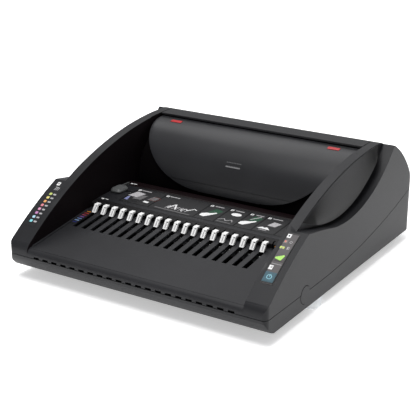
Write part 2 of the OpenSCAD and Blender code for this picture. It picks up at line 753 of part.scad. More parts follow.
module edge_guide() color([0.45, 0.46, 0.47]) raised() {
    // thumb tab
    hull() for (x = [-150.5, -144], y = [-33, -21]) translate([x, y, 59.8]) {
        cylinder(r = 5.6, h = 1.6, $fn = 32);
        cylinder(r = 3.6, h = 4.2, $fn = 32);
    }
    // arm and blade that the edge of the page rests against
    block([-151.5, -149.5], [-23, die_y + 0.4], [60.8, 63.2]);
    block([-151.5, -149.5], [die_y + 0.4, -0.4], [34, 63.2]);
    block([-152, -144], [-26, -22], [57.4, 60.9]);
}

lower_shell();
front_feet();
rear_feet();
left_cheek();
right_cheek();
left_side_inset();
right_side_inset();
tray_deck();
comb_rack();
mid_deck();
instruction_strip();
throat_bar();
rear_cover();
drum_liner();
liner_ribs();
tray_scales();
comb_size_chart();
panel_bezel();
status_leds();
panel_board();
base_plate();
base_screws();
die_plate();
guide_plate();
paper_stop();
punch_frame_ends();
left_bearing();
gear_plate();
idler_stud();
gear_motor();
transformer_core();
transformer_coil();
main_board();
board_parts();
power_inlet();
inlet_pins();
hub_bushings();
guide_pins();
drawer_rails();
edge_guide_rail();
handle_skin();
handle_arms();
handle_pinions();
handle_markers();
opener_bar();
opener_hooks();
slide_plates();
punch_bar();
punch_pins();
cam_yokes();
camshaft();
eccentrics();
cam_gear();
idler_gear();
motor_pinion();
chip_drawer();
power_button();
punch_button();
edge_guide();
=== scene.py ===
import json
import math

import bmesh
import bpy
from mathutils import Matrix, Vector


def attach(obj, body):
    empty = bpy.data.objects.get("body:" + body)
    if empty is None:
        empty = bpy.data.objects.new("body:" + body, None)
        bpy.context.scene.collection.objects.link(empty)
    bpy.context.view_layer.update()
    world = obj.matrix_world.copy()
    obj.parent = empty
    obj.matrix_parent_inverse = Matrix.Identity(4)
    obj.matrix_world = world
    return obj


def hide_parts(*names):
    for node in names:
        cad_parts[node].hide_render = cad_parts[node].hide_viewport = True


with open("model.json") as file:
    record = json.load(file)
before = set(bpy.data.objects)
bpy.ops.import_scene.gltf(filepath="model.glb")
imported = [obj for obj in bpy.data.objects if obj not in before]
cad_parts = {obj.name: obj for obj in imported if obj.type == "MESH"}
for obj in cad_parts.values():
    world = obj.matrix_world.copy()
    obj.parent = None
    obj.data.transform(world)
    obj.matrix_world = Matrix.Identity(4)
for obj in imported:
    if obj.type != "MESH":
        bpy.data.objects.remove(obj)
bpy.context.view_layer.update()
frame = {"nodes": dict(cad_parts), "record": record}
MM = 0.001

# ---- places that the looks share with the CAD, in metres ----

FOOT_H = 0.014
HALF_W = 0.188
HALF_D = 0.208
TRAY_HALF = 0.158
PITCH = 0.0142875  # the standard 9/16 inch of plastic combs
RINGS = 19
RIM_Y, RIM_Z, RIM_R = 0.107, -0.369 + FOOT_H, 0.5105
RIM_START = 120  # degrees, where distances along the rim are counted from
DRUM_Y, DRUM_Z, DRUM_R, SKIN_T = 0.094, 0.060 + FOOT_H, 0.077, 0.0026
RIDGE_Y, RIDGE_Z, RIDGE_R = -0.022, 0.262 + FOOT_H, 0.179
TRAY_FRONT_Y, TRAY_FRONT_Z = -0.2024, 0.0319 + FOOT_H
TRAY_SLOPE = math.tan(math.radians(7.5))
DECK_FRONT_Y, DECK_FRONT_Z = -0.056, 0.057 + FOOT_H
DECK_SLOPE = 3 / 51
RACK_FRONT_Y, RACK_MARK_Z = -0.0760, 0.0500 + FOOT_H
BAR_TOP_Z = 0.0590 + FOOT_H
HOOK_Y, HOOK_Z = -0.0915, 0.0470 + FOOT_H


def tray_z(y):
    """Height of the tray's top face at depth y."""
    return TRAY_FRONT_Z + (y - TRAY_FRONT_Y) * TRAY_SLOPE


def deck_z(y):
    """Height of the printed strip behind the hooks at depth y."""
    return DECK_FRONT_Z + (y - DECK_FRONT_Y) * DECK_SLOPE


# ---- materials ----

def new_material(name):
    """An empty node material with its Principled shader."""
    mat = bpy.data.materials.new(name)
    mat.use_nodes = True
    return mat, mat.node_tree, mat.node_tree.nodes["Principled BSDF"]


def noise(tree, scale, detail=3.0, roughness=0.5):
    """A noise texture in the object's own space, the same size everywhere."""
    coords = tree.nodes.new("ShaderNodeTexCoord")
    node = tree.nodes.new("ShaderNodeTexNoise")
    node.inputs["Scale"].default_value = scale
    node.inputs["Detail"].default_value = detail
    node.inputs["Roughness"].default_value = roughness
    tree.links.new(coords.outputs["Object"], node.inputs["Vector"])
    return node


def vary(tree, source, low, high):
    """Maps a texture's factor to a range."""
    node = tree.nodes.new("ShaderNodeMapRange")
    node.inputs["From Min"].default_value = 0.3
    node.inputs["From Max"].default_value = 0.7
    node.inputs["To Min"].default_value = low
    node.inputs["To Max"].default_value = high
    tree.links.new(source, node.inputs["Value"])
    return node.outputs["Result"]


def shades(tree, source, dark, light):
    """Colour that runs from dark to light along a texture's factor."""
    ramp = tree.nodes.new("ShaderNodeValToRGB")
    ramp.color_ramp.elements[0].position = 0.35
    ramp.color_ramp.elements[1].position = 0.65
    ramp.color_ramp.elements[0].color = (*dark, 1)
    ramp.color_ramp.elements[1].color = (*light, 1)
    tree.links.new(source, ramp.inputs["Fac"])
    return ramp.outputs["Color"]


def bump(tree, shader, source, distance):
    """Raises the surface along a texture's factor, by up to distance."""
    node = tree.nodes.new("ShaderNodeBump")
    node.inputs["Distance"].default_value = distance
    node.inputs["Strength"].default_value = 1.0
    tree.links.new(source, node.inputs["Height"])
    tree.links.new(node.outputs["Normal"], shader.inputs["Normal"])


def link_look(tree, shader, colour, rough):
    """Links a colour and a roughness to the shader."""
    tree.links.new(colour, shader.inputs["Base Color"])
    tree.links.new(rough, shader.inputs["Roughness"])


def plastic(name, colour, rough, grain=0.00004, spread=0.12, spec=0.5):
    """Moulded plastic: a fine pitted grain, with colour and gloss that wander a little."""
    mat, tree, shader = new_material(name)
    patches = noise(tree, 14.0, 2.0)
    fine = noise(tree, 1600.0, 2.0, 0.6)
    dark = tuple(c * (1 - spread) for c in colour)
    light = tuple(min(1.0, c * (1 + spread)) for c in colour)
    link_look(tree, shader, shades(tree, patches.outputs["Fac"], dark, light),
              vary(tree, fine.outputs["Fac"], rough - 0.05, rough + 0.05))
    shader.inputs["Specular IOR Level"].default_value = spec
    bump(tree, shader, fine.outputs["Fac"], grain)
    return mat


def metal(name, colour, rough):
    """Ground steel: a fine directional grain in colour and roughness."""
    mat, tree, shader = new_material(name)
    coords = tree.nodes.new("ShaderNodeTexCoord")
    mapping = tree.nodes.new("ShaderNodeMapping")
    mapping.inputs["Scale"].default_value = (1.0, 1.0, 40.0)
    grain = tree.nodes.new("ShaderNodeTexNoise")
    grain.inputs["Scale"].default_value = 90.0
    grain.inputs["Detail"].default_value = 4.0
    tree.links.new(coords.outputs["Object"], mapping.inputs["Vector"])
    tree.links.new(mapping.outputs["Vector"], grain.inputs["Vector"])
    dark = tuple(c * 0.82 for c in colour)
    link_look(tree, shader, shades(tree, grain.outputs["Fac"], dark, colour),
              vary(tree, grain.outputs["Fac"], rough - 0.08, rough + 0.1))
    shader.inputs["Metallic"].default_value = 1.0
    bump(tree, shader, grain.outputs["Fac"], 0.00002)
    return mat


def painted_edge_shade(mat, centre, radius, reach, dark, light):
    """Painted shade: darkens a side panel over the last reach of its way to the round lower edge,
    where shade falls in the recess.
    """
    tree = mat.node_tree
    shader = tree.nodes["Principled BSDF"]
    coords = tree.nodes.new("ShaderNodeTexCoord")
    flat = tree.nodes.new("ShaderNodeVectorMath")
    flat.operation = "MULTIPLY"
    flat.inputs[1].default_value = (0, 1, 1)
    gap = tree.nodes.new("ShaderNodeVectorMath")
    gap.operation = "DISTANCE"
    gap.inputs[1].default_value = (0, *centre)
    shade_fade = tree.nodes.new("ShaderNodeMapRange")
    shade_fade.interpolation_type = "SMOOTHSTEP"
    shade_fade.inputs["From Min"].default_value = radius - reach
    shade_fade.inputs["From Max"].default_value = radius
    mix = tree.nodes.new("ShaderNodeMix")
    mix.data_type = "RGBA"
    mix.inputs["A"].default_value = (*light, 1)
    mix.inputs["B"].default_value = (*dark, 1)
    tree.links.new(coords.outputs["Object"], flat.inputs[0])
    tree.links.new(flat.outputs["Vector"], gap.inputs[0])
    tree.links.new(gap.outputs["Value"], shade_fade.inputs["Value"])
    tree.links.new(shade_fade.outputs["Result"], mix.inputs["Factor"])
    tree.links.new(mix.outputs["Result"], shader.inputs["Base Color"])
    return mat


def printed(name, colour, rough=0.35):
    """Printed ink or a small coloured moulding, with a faint mottle."""
    mat, tree, shader = new_material(name)
    mottle = noise(tree, 900.0, 2.0)
    dark = tuple(c * 0.86 for c in colour)
    link_look(tree, shader, shades(tree, mottle.outputs["Fac"], dark, colour),
              vary(tree, mottle.outputs["Fac"], rough - 0.04, rough + 0.06))
    shader.inputs["Specular IOR Level"].default_value = 0.3
    return mat


def soft_rubber(name, colour):
    """Milky soft rubber that lets some light through."""
    mat, tree, shader = new_material(name)
    cloud = noise(tree, 120.0, 3.0)
    dark = tuple(c * 0.9 for c in colour)
    link_look(tree, shader, shades(tree, cloud.outputs["Fac"], dark, colour),
              vary(tree, cloud.outputs["Fac"], 0.42, 0.56))
    shader.inputs["Subsurface Weight"].default_value = 0.5
    shader.inputs["Subsurface Radius"].default_value = (0.006, 0.006, 0.007)
    shader.inputs["Transmission Weight"].default_value = 0.35
    bump(tree, shader, cloud.outputs["Fac"], 0.00005)
    return mat


CASING = plastic("casing", (0.0095, 0.0097, 0.0115), 0.46, spec=0.26)
TRAY = plastic("tray", (0.0118, 0.0120, 0.0140), 0.50, spec=0.28)
DRUM = plastic("drum", (0.0125, 0.0127, 0.0145), 0.32, grain=0.00001, spec=0.34)
BLACK = plastic("black", (0.0012, 0.0008, 0.0010), 0.8, spec=0.03)
BAR = plastic("throat_black", (0.0060, 0.0028, 0.0034), 0.40, spec=0.16)
RACK = plastic("rack", (0.0050, 0.0046, 0.0052), 0.42, spec=0.2)
WHITE = plastic("hook_white", (0.80, 0.80, 0.79), 0.34, grain=0.00001, spread=0.04)
GREY = plastic("guide_grey", (0.075, 0.078, 0.079), 0.42)
NYLON = plastic("nylon", (0.72, 0.69, 0.58), 0.42, spread=0.06)
RUBBER = soft_rubber("foot_rubber", (0.86, 0.88, 0.90))
STEEL = metal("steel", (0.56, 0.57, 0.58), 0.34)
MOTOR = metal("motor_case", (0.22, 0.22, 0.23), 0.45)
COIL = plastic("coil_tape", (0.52, 0.33, 0.08), 0.4)
BOARD = plastic("board", (0.02, 0.13, 0.055), 0.35, spread=0.2)
PARTS = plastic("board_parts", (0.03, 0.03, 0.035), 0.4)
FILM = plastic("strip_film", (0.0040, 0.0038, 0.0044), 0.40, grain=0.000005, spec=0.14)
PANEL = plastic("panel_film", (0.085, 0.078, 0.080), 0.34, grain=0.000005, spec=0.3)
PANEL_GREY = printed("panel_grey", (0.017, 0.017, 0.018))
INK_WHITE = printed("ink_white", (0.80, 0.80, 0.80))
INK_LIGHT = printed("ink_light", (0.42, 0.41, 0.42))
INK_GREY = printed("ink_grey", (0.13, 0.127, 0.13))
INK_DARK = printed("ink_dark", (0.012, 0.012, 0.013))
INK_BLACK = printed("ink_black", (0.003, 0.003, 0.003))
INK_EMBLEM = printed("ink_emblem", (0.22, 0.22, 0.225))
INK_GREEN = printed("ink_green", (0.012, 0.062, 0.030))
INK_BLUE = printed("ink_blue", (0.20, 0.22, 0.40))
INK_RED = printed("ink_red", (0.16, 0.035, 0.025))
MARK_RED = printed("mark_red", (0.42, 0.012, 0.016), 0.22)
MARK_DARK = printed("mark_dark", (0.030, 0.004, 0.005), 0.22)
TEAL = printed("key_teal", (0.045, 0.105, 0.135), 0.32)
TEAL_RING = printed("key_ring", (0.30, 0.62, 0.72), 0.3)
GREEN_KEY = printed("key_green", (0.40, 0.72, 0.16), 0.26)
SCALE_INKS = [(0.72, 0.26, 0.03), (0.62, 0.05, 0.03), (0.45, 0.05, 0.12), (0.26, 0.10, 0.40),
              (0.20, 0.30, 0.62), (0.32, 0.50, 0.85), (0.02, 0.03, 0.22)]
CHART_INKS = [(0.50, 0.58, 0.16), (0.68, 0.60, 0.20), (0.72, 0.34, 0.12), (0.68, 0.22, 0.26),
              (0.66, 0.30, 0.48), (0.52, 0.24, 0.48), (0.40, 0.62, 0.76), (0.22, 0.60, 0.66)]
LENS = printed("lens", (0.35, 0.33, 0.30), 0.2)
LED_RED = printed("led_red", (0.80, 0.16, 0.12), 0.2)
LED_LIME = printed("led_lime", (0.66, 0.78, 0.16), 0.2)
# the side panels' material: its own dark colour, with painted shade that darkens it towards the
# recess's lower edge
SHADED_RECESS = painted_edge_shade(plastic("recess_panel_painted_shade", (0.012, 0.012, 0.014), 0.42, spec=0.2),
                     centre=(RIDGE_Y, RIDGE_Z), radius=RIDGE_R, reach=0.055,
                     dark=(0.0012, 0.0012, 0.0014), light=(0.0150, 0.0152, 0.0170))
# painted shade for the housing's inward faces, darker than the casing
INNER_SHADE = plastic("inner_face_shade", (0.0040, 0.0022, 0.0030), 0.6, spec=0.1)
SCALE_MATS = [printed("scale_ink_%d" % k, ink) for k, ink in enumerate(SCALE_INKS)]
CHART_MATS = [printed("chart_ink_%d" % k, ink) for k, ink in enumerate(CHART_INKS)]

# ---- carried-over CAD pieces ----

NODE_LOOK = {
    "front_feet": RUBBER, "rear_feet": RUBBER, "lower_shell": CASING, "left_cheek": CASING,
    "right_cheek": CASING, "left_side_inset": CASING, "right_side_inset": CASING,
    "tray_deck": TRAY, "comb_rack": RACK, "mid_deck": CASING, "instruction_strip": FILM,
    "throat_bar": BAR, "rear_cover": CASING, "drum_liner": BLACK, "liner_ribs": STEEL,
    "tray_scales": INK_DARK, "comb_size_chart": CASING, "panel_bezel": PANEL,
    "panel_board": BOARD, "base_plate": STEEL, "base_screws": STEEL, "die_plate": STEEL,
    "guide_plate": STEEL, "paper_stop": STEEL, "punch_frame_ends": STEEL, "left_bearing": STEEL,
    "gear_plate": STEEL, "idler_stud": STEEL, "gear_motor": MOTOR, "transformer_core": MOTOR,
    "transformer_coil": COIL, "main_board": BOARD, "board_parts": PARTS, "power_inlet": BLACK,
    "inlet_pins": STEEL, "hub_bushings": NYLON, "guide_pins": STEEL, "drawer_rails": BLACK,
    "edge_guide_rail": STEEL, "handle_skin": DRUM, "handle_arms": BLACK, "handle_pinions": STEEL,
    "handle_markers": MARK_RED, "opener_bar": STEEL, "opener_hooks": WHITE, "slide_plates": STEEL,
    "punch_bar": STEEL, "punch_pins": STEEL, "cam_yokes": STEEL, "camshaft": STEEL,
    "eccentrics": STEEL, "cam_gear": NYLON, "idler_gear": NYLON, "motor_pinion": STEEL,
    "chip_drawer": CASING, "power_button": TEAL, "punch_button": PANEL, "edge_guide": GREY,
    "status_leds": LENS,
}

BODY_OF = {n: body for body, names in frame["record"]["behaviour"]["bodies"].items() for n in names}


def paint(obj, mat):
    """Gives a piece one material."""
    obj.data.materials.clear()
    obj.data.materials.append(mat)


def smooth(mesh, angle=28.0):
    """Smooth shading that keeps edges sharper than the angle."""
    mesh.shade_smooth()
    mesh.set_sharp_from_angle(angle=math.radians(angle))


def keep(obj, body, mat=None):
    """Finishes a new piece: its material and body."""
    if mat is not None:
        paint(obj, mat)
    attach(obj, body)
    return obj


def add_mesh(name, bm, body, mats, angle=28.0):
    """A new piece made from a bmesh."""
    mesh = bpy.data.meshes.new(name)
    bmesh.ops.recalc_face_normals(bm, faces=bm.faces)
    bm.to_mesh(mesh)
    bm.free()
    obj = bpy.data.objects.new(name, mesh)
    bpy.context.scene.collection.objects.link(obj)
    for mat in mats:
        mesh.materials.append(mat)
    smooth(mesh, angle)
    return keep(obj, body)


def softened(node, width, segments=2):
    """A copy of a CAD node with its edges rounded, which stands for the node."""
    bm = bmesh.new()
    bm.from_mesh(frame["nodes"][node].data)
    bmesh.ops.remove_doubles(bm, verts=bm.verts, dist=2e-6)
    mesh = bpy.data.meshes.new(node + "_soft")
    bm.to_mesh(mesh)
    bm.free()
    obj = bpy.data.objects.new(node + "_soft", mesh)
    bpy.context.scene.collection.objects.link(obj)
    round_edges(obj, width, segments)
    keep(obj, BODY_OF[node], NODE_LOOK[node])
    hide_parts(node)
    return obj


def round_edges(obj, width, segments):
    """Rounds the sharp edges, then shades so that flat faces stay flat."""
    rounding = obj.modifiers.new("rounding", "BEVEL")
    rounding.width = width
    rounding.segments = segments
    rounding.limit_method = "ANGLE"
    rounding.angle_limit = math.radians(30)
    rounding.use_clamp_overlap = True
    rounding.miter_outer = "MITER_ARC"
    apply_modifiers(obj)
    smooth(obj.data, 32.0)
    obj.modifiers.new("weighted", "WEIGHTED_NORMAL").keep_sharp = True
    apply_modifiers(obj)


def apply_modifiers(obj):
    """Replaces the mesh with what its modifiers make of it."""
    graph = bpy.context.evaluated_depsgraph_get()
    made = bpy.data.meshes.new_from_object(obj.evaluated_get(graph))
    obj.modifiers.clear()
    obj.data = made


def paint_inside_shade(cheek):
    """Painted shade: the faces of a housing that look into the machine get a matt, nearly black
    material that stands for the shade inside the machine.
    """
    cheek.data.materials.append(INNER_SHADE)
    for face in cheek.data.polygons:
        x = face.center.x
        if abs(x) < TRAY_HALF + 0.0016 and face.normal.x * x < -0.5 * abs(x):
            face.material_index = 1


EDGE_WIDTHS = {
    "lower_shell": 0.6, "left_cheek": 0.9, "right_cheek": 0.9, "tray_deck": 0.35,
    "comb_rack": 0.3, "mid_deck": 0.3, "throat_bar": 0.5, "rear_cover": 0.5,
    "opener_hooks": 0.5, "chip_drawer": 0.5, "power_inlet": 0.4, "punch_button": 0.5,
    "power_button": 0.4,
}  # in millimetres

for name, node in frame["nodes"].items():
    paint(node, NODE_LOOK[name])
    smooth(node.data)
for name, width in EDGE_WIDTHS.items():
    copy = softened(name, width * MM, segments=3 if width > 0.4 else 2)
    # the cheeks' inward faces get painted shade
    if name.endswith("cheek"):
        paint_inside_shade(copy)


# ---- drawing on the casing ----

def rim_place(x, along, lift):
    """A point on the rim: along runs up the slope from the rim's start angle."""
    a = math.radians(RIM_START) - along / RIM_R
    r = RIM_R + lift
    return Vector((x, RIM_Y + r * math.cos(a), RIM_Z + r * math.sin(a)))


def rim_along(angle):
    """Distance along the rim of an angle, from the rim's start angle."""
    return math.radians(RIM_START - angle) * RIM_R


def deck_place(x, y, lift):
    """A point on the printed strip."""
    return Vector((x, y, deck_z(y) + 0.0001 + lift))


def tray_place(x, y, lift):
    """A point on the tray."""
    return Vector((x, y, tray_z(y) + 0.0004 + lift))


def drum_place(x, along, lift):
    """A point on the drum: along runs from the top of the drum down its front."""
    a = math.radians(90) + along / DRUM_R
    r = DRUM_R + lift
    return Vector((x, DRUM_Y + r * math.cos(a), DRUM_Z + r * math.sin(a)))


def rect(u, v, w, h, turn=0.0, skew=0.0):
    """Corners of a box centred on u, v."""
    c, s = math.cos(math.radians(turn)), math.sin(math.radians(turn))
    corners = ((-w / 2, -h / 2), (w / 2, -h / 2), (w / 2, h / 2), (-w / 2, h / 2))
    return [(u + (a + skew * b) * c - b * s, v + (a + skew * b) * s + b * c) for a, b in corners]


def rounded(u, v, w, h, r, n=5):
    """A box with round corners."""
    points = []
    for k, (su, sv) in enumerate(((1, 1), (-1, 1), (-1, -1), (1, -1))):
        for i in range(n + 1):
            a = math.radians(90 * k + 90 * i / n)
            points.append((u + su * (w / 2 - r) + r * math.cos(a),
                           v + sv * (h / 2 - r) + r * math.sin(a)))
    return points


def disc(u, v, r, n=20, squash=1.0):
    """A round outline, or an oval one with squash."""
    turns = [2 * math.pi * i / n for i in range(n)]
    return [(u + r * math.cos(a), v + squash * r * math.sin(a)) for a in turns]


def stroke(points, width):
    """A line of even width through the points, as one box per stretch."""
    boxes = []
    for (u0, v0), (u1, v1) in zip(points, points[1:]):
        length = math.hypot(u1 - u0, v1 - v0)
        turn = math.degrees(math.atan2(v1 - v0, u1 - u0))
        boxes.append(rect((u0 + u1) / 2, (v0 + v1) / 2, length + width * 0.6, width, turn))
    return boxes


def arc_line(u, v, r, start, end, width, n=14):
    """A line of even width along an arc."""
    steps = [math.radians(start + (end - start) * i / n) for i in range(n + 1)]
    return stroke([(u + r * math.cos(a), v + r * math.sin(a)) for a in steps], width)


PRINT_STEP = 0.00003


def print_on(name, place, layers, body):
    """Thin raised prints: layers is a list of (material, outlines), lowest first."""
    bm = bmesh.new()
    for level, (mat, outlines) in enumerate(layers):
        top = PRINT_STEP * (level + 1)
        for outline in outlines:
            upper = [bm.verts.new(place(u, v, top)) for u, v in outline]
            lower = [bm.verts.new(place(u, v, -PRINT_STEP)) for u, v in outline]
            faces = [bm.faces.new(upper), bm.faces.new(lower[::-1])]
            for i in range(len(outline)):
                j = (i + 1) % len(outline)
                faces.append(bm.faces.new((upper[i], lower[i], lower[j], upper[j])))
            for face in faces:
                face.material_index = level
    return add_mesh(name, bm, body, [mat for mat, _ in layers], angle=20.0)


def scaled(outlines, u, v, k=1.0, turn=0.0):
    """Outlines drawn in millimetres, set down at u, v in metres."""
    c, s = math.cos(math.radians(turn)) * k * MM, math.sin(math.radians(turn)) * k * MM
    return [[(u + a * c - b * s, v + a * s + b * c) for a, b in outline] for outline in outlines]


# ---- the printed strip behind the hooks ----

STRIP_X0, STRIP_X1 = -0.1268, 0.1575
STRIP_Y0, STRIP_Y1 = -0.0555, -0.0065
BADGE_Y, HEADING_Y = -0.0128, -0.0122
PANEL_EDGES = [STRIP_X0, -0.080, -0.009, 0.022, 0.052, 0.078, 0.111, STRIP_X1]


def comb_teeth(count, reach):
    """A plastic comb seen from the side: a row of leaning teeth."""
    teeth = []
    for i in range(count):
        u = i * 5.2
        teeth += stroke([(u, 0), (u + 2.2, reach), (u + 5.0, reach - 1.5)], 1.1)
    return teeth


def hand():
    """A pointing shape: a palm with one long finger."""
    return [[(-7, -6), (-1, -7.5), (3, -3), (9, 5.5), (7.6, 7.2), (2.4, 3.4), (-2.5, 2.5), (-7, -1)]]


def paper(lines):
    """A leaning sheet with a few ruled lines."""
    sheet = [[(-8, -6), (4, -7), (8, 5), (-4, 7)]]
    ruled = [rect(-0.5 + 0.6 * i, -3.5 + 3.2 * i, 7.5, 0.7, -4) for i in range(lines)]
    return sheet, ruled


def instruction_strip():
    """Seven panels with a badge, a heading bar and simple pictures each."""
    sheet, ruled = paper(3)
    dim, grey, light, white, green, blue, red, black = [], [], [], [], [], [], [], []
    for left, right in zip(PANEL_EDGES, PANEL_EDGES[1:]):
        wide, deep = right - left, STRIP_Y1 - STRIP_Y0
        dim.append(rect((left + right) / 2, (STRIP_Y0 + STRIP_Y1) / 2, wide - 0.0022, deep - 0.0015))
        white += scaled([rect(0, 0, 4.2, 4.2)], left + 0.0042, BADGE_Y)
        black += scaled([disc(0, 0, 1.1, 10)], left + 0.0042, BADGE_Y)
        light += scaled([rect(0, 0, min(16, 0.43 * wide / MM), 1.7)], left + 0.0155, HEADING_Y)
    # how a page is laid in
    light += scaled(sheet, -0.117, -0.027, 1.25)
    blue += scaled([[(-7, -7), (-2, -7.5), (-4.5, 3), (-7.5, 2)]], -0.1165, -0.040, 1.1)
    grey += scaled(sheet, -0.108, -0.033, 1.15, 12)
    red += scaled(stroke([(-6, -6), (6, -7), (9, 5), (-2, 7), (-6, -6)], 0.7), -0.086, -0.030, 0.85)
    grey += scaled(sheet, -0.0875, -0.030, 0.9)
    white += scaled([rect(0, 0, 8, 4.2, -6)], -0.091, -0.0435)
    # the row of teeth and the comb
    light += scaled(comb_teeth(7, 9), -0.058, -0.047, 1.0)
    white += scaled(stroke([(-9, -7), (-3, 6), (3, -7)], 1.9), -0.046, -0.038, 1.0)
    white += scaled(arc_line(0, 0, 4, 20, 250, 1.5), -0.030, -0.0435, 1.0)
    white += scaled(stroke([(0, 0), (7, 9), (11, 7)], 1.4), -0.026, -0.043, 1.0)
    grey += scaled([rect(0, 0, 62, 2.2, -2)], -0.044, -0.0515, 0.9)
    # a hand that lifts the drum
    green += scaled([[(-7, -5), (4, -8), (9, 4), (-2, 8)]], 0.0085, -0.0275, 1.15)
    white += scaled(hand(), 0.0035, -0.0385, 1.2)
    # a hand that sets down the comb
    white += scaled([disc(0, 0, 7, 18, 0.62)], 0.0385, -0.0235, 1.05)
    grey += scaled(arc_line(0, 0, 4, 200, 380, 1.0), 0.0385, -0.0235, 1.0)
    light += scaled(stroke([(-10, -3), (-3, 2), (1, -3), (8, 2), (11, -3)], 1.0), 0.034, -0.043, 1.0)
    grey += scaled(stroke([(-11, -5), (10, -6)], 1.6), 0.035, -0.0455, 1.0)
    # a hand that draws the drum back down
    green += scaled([[(-6, -6), (5, -8), (8, 5), (-3, 7)]], 0.0665, -0.024, 1.15)
    light += scaled(stroke([(-5, -6), (4, 6)], 1.8), 0.0672, -0.0215, 1.0)
    white += scaled(hand(), 0.0617, -0.0375, 1.2)
    # the bound book
    light += scaled(sheet, 0.0975, -0.028, 0.95)
    grey += scaled(ruled, 0.0975, -0.028, 0.95)
    white += scaled([[(-9, -2), (-3, 3), (0, 1), (3, 3.5), (10, -3)]], 0.090, -0.043, 1.0)
    light += scaled([rect(0, 0, 12, 1.2, -3)], 0.091, -0.0485)
    white += scaled([[(-6, -5), (3, -8), (8, 0), (2, 8), (-5, 4)]], 0.1255, -0.0300, 1.25)
    grey += scaled(ruled, 0.1265, -0.0300, 0.8)
    grey += scaled(sheet, 0.1455, -0.033, 0.8)
    print_on("strip_panels", deck_place, [(PANEL_GREY, dim)], "base")
    print_on("strip_pictures", lambda u, v, h: deck_place(u, v, h + PRINT_STEP), [
        (INK_GREEN, green), (INK_GREY, grey), (INK_BLUE, blue), (INK_RED, red),
        (INK_LIGHT, light), (INK_WHITE, white), (INK_BLACK, black)], "base")


def ledge_marks():
    """Small marks on the ledges beside and before the strip."""
    def on_ledge(u, v, h):
        return deck_place(u, v, 0.0001 + h)

    def on_bar(u, v, h):
        return Vector((u, v, BAR_TOP_Z + h))

    badge_u = -0.1500
    white = scaled([rect(0, 0, 4.4, 3.8), rect(6.4, 0.4, 5.2, 2.4)], badge_u, -0.0600)
    row = scaled([rect(4.3 * i, 0, 2.6, 1.1) for i in range(9)], -0.026, -0.0588)
    print_on("ledge_marks", on_ledge, [(INK_WHITE, white), (INK_GREY, row)], "base")
    bar = scaled([rect(0, 0, 3.8, 3.4), rect(5.8, 0.2, 5.0, 2.4)], badge_u, 0.0060)
    print_on("bar_marks", on_bar, [(INK_WHITE, bar)], "base")


# ---- size scales on the tray, chart and keys on the rims ----

def tray_scales():
    """Coloured lines that show how far the hooks reach for each comb size."""
    for side, word in ((-1, "left"), (1, "right")):
        for k, mat in enumerate(SCALE_MATS):
            line = rect(side * 0.1506, -0.0905 - 0.0052 * k, 0.0070, 0.0011)
            print_on("scale_%s_%d" % (word, k), tray_place, [(mat, [line])], "base")


def rack_scale():
    """Short coloured marks on the rack's face, to the right of the last hook."""
    def on_rack(u, v, h):
        return Vector((u, RACK_FRONT_Y - 0.0001 - h, RACK_MARK_Z + v))

    for k, mat in enumerate(SCALE_MATS[:3]):
        line = rect(0.1250 + 0.0030 * k, -0.0002, 0.0013, 0.0062)
        print_on("rack_scale_%d" % k, on_rack, [(mat, [line])], "base")


CHART_U = -0.1770
CHART_MARK_U = -0.1704
CHART_BADGE_A = 116.15
CHART_ICON_A = 117.15
CHART_FIRST_A, CHART_STEP_A = 118.3, 0.757


def size_chart():
    """Two columns of marks on the left rim, one row for each comb size."""
    def chart_place(u, v, h):
        return rim_place(u, v, 0.00017 + h)

    badge_v = rim_along(CHART_BADGE_A)
    print_on("chart_badge", chart_place, [
        (INK_WHITE, [rounded(CHART_U, badge_v, 0.0048, 0.0058, 0.0004)]),
        (INK_BLACK, [disc(CHART_U, badge_v, 0.0011, 10)])], "base")
    marks = stroke([(-3, -2.5), (-1, 2.5)], 0.9) + stroke([(-0.5, -2.5), (1.5, 2.5)], 0.9)
    marks += stroke([(2, -2.5), (3.6, 2), (-3, 3)], 0.8)
    icon = scaled(marks, -0.1742, rim_along(CHART_ICON_A))
    print_on("chart_icon", chart_place, [(INK_LIGHT, icon)], "base")
    for row, mat in enumerate(CHART_MATS):
        along = rim_along(CHART_FIRST_A + row * CHART_STEP_A)
        print_on("chart_row_%d" % row, chart_place, [
            (mat, [rounded(CHART_U, along, 0.0042, 0.0040, 0.0012)]),
            (INK_LIGHT, [rounded(CHART_MARK_U, along, 0.0046, 0.0024, 0.0008)])], "base")


PANEL_X, PANEL_HALF = 0.1713, 0.0080
PANEL_TOP_A, PANEL_END_A = 115.75, 124.15
PANEL_BADGES_A = (116.25, 121.72)
PANEL_DIVIDER_A = 121.08
LAMPS_U, LAMPS_A = PANEL_X - 0.0046, (117.3, 118.35)
PUNCH_KEY_A, POWER_KEY_A = 120.05, 123.2


def panel_border():
    """The key strip's frame: its long sides bend with the rim, so they are short runs."""
    top, end = rim_along(PANEL_TOP_A), rim_along(PANEL_END_A)
    wide, steps = 0.0011, 18
    run = (top - end) / steps
    boxes = [rect(PANEL_X + side * (PANEL_HALF - wide / 2), end + run * (i + 0.5), wide, run * 1.02)
             for side in (-1, 1) for i in range(steps)]
    return boxes + [rect(PANEL_X, v, 2 * PANEL_HALF, wide) for v in (top - wide / 2, end + wide / 2)]


